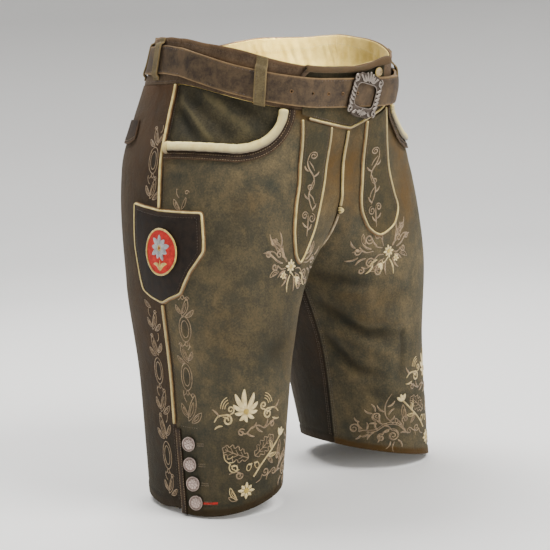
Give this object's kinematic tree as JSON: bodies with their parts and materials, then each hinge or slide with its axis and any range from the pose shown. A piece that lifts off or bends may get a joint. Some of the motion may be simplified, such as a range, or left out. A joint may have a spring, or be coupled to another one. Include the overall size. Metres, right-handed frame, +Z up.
{
  "type": "lederhosen",
  "caption": "Hollow suede knee breeches filled out as if worn, with drop flap, piped tongues, knife pocket, buttoned leg slits and a buckled leather belt.",
  "frame": {"origin": "middle of the waist at the belt's height, where the wearer's waist holds the garment up", "axes": "+Z up; the front faces -Y and the wearer's right is -X"},
  "size_m": [0.4056, 0.2999, 0.5471],
  "materials": {
    "suede": "mottled olive brown suede, worn paler at the edges",
    "facing": "dark green-grey suede",
    "lining": "plain woven cream cotton, gathered a little at its seam",
    "dark": "smooth dark brown leather",
    "brown": "brown suede-finished belt leather",
    "cream": "cream piping leather",
    "badge": "embroidered patch, satin stitch",
    "silver": "old silver plating, dark in the hollows",
    "horn": "polished horn"
  },
  "bodies": {
    "root": {"front_right": "suede", "front_left": "suede", "back_right": "suede", "back_left": "suede", "waistband_right": "suede", "waistband_left": "suede", "waistband_back": "suede", "flap": "suede", "tongue_right": "suede", "tongue_left": "suede", "loop_front_right": "suede", "loop_front_left": "suede", "loop_side_right": "suede", "loop_side_left": "suede", "loop_back_right": "suede", "loop_back_left": "suede", "facing_right": "facing", "facing_left": "facing", "lining_right": "lining", "lining_left": "lining", "lining_back": "lining", "pocket_welt_right": "dark", "pocket_welt_left": "dark", "placket_right": "dark", "placket_left": "dark", "knife_pocket": "dark", "back_pocket_flap": "dark", "crotch_piping": "brown", "belt": "brown", "flap_piping": "cream", "tongue_piping_right": "cream", "tongue_piping_left": "cream", "fly_piping": "cream", "fly_knot": "cream", "pocket_roll_right": "cream", "pocket_roll_left": "cream", "side_piping_right_upper": "cream", "side_piping_right_lower": "cream", "side_piping_left": "cream", "knife_pocket_piping": "cream", "knife_pocket_badge": "badge", "buckle": "silver", "button_right_1": "silver", "button_right_2": "silver", "button_right_3": "silver", "button_right_4": "silver", "button_left_1": "silver", "button_left_2": "silver", "button_left_3": "silver", "button_left_4": "silver", "flap_button": "horn"}
  },
  "joints": []
}
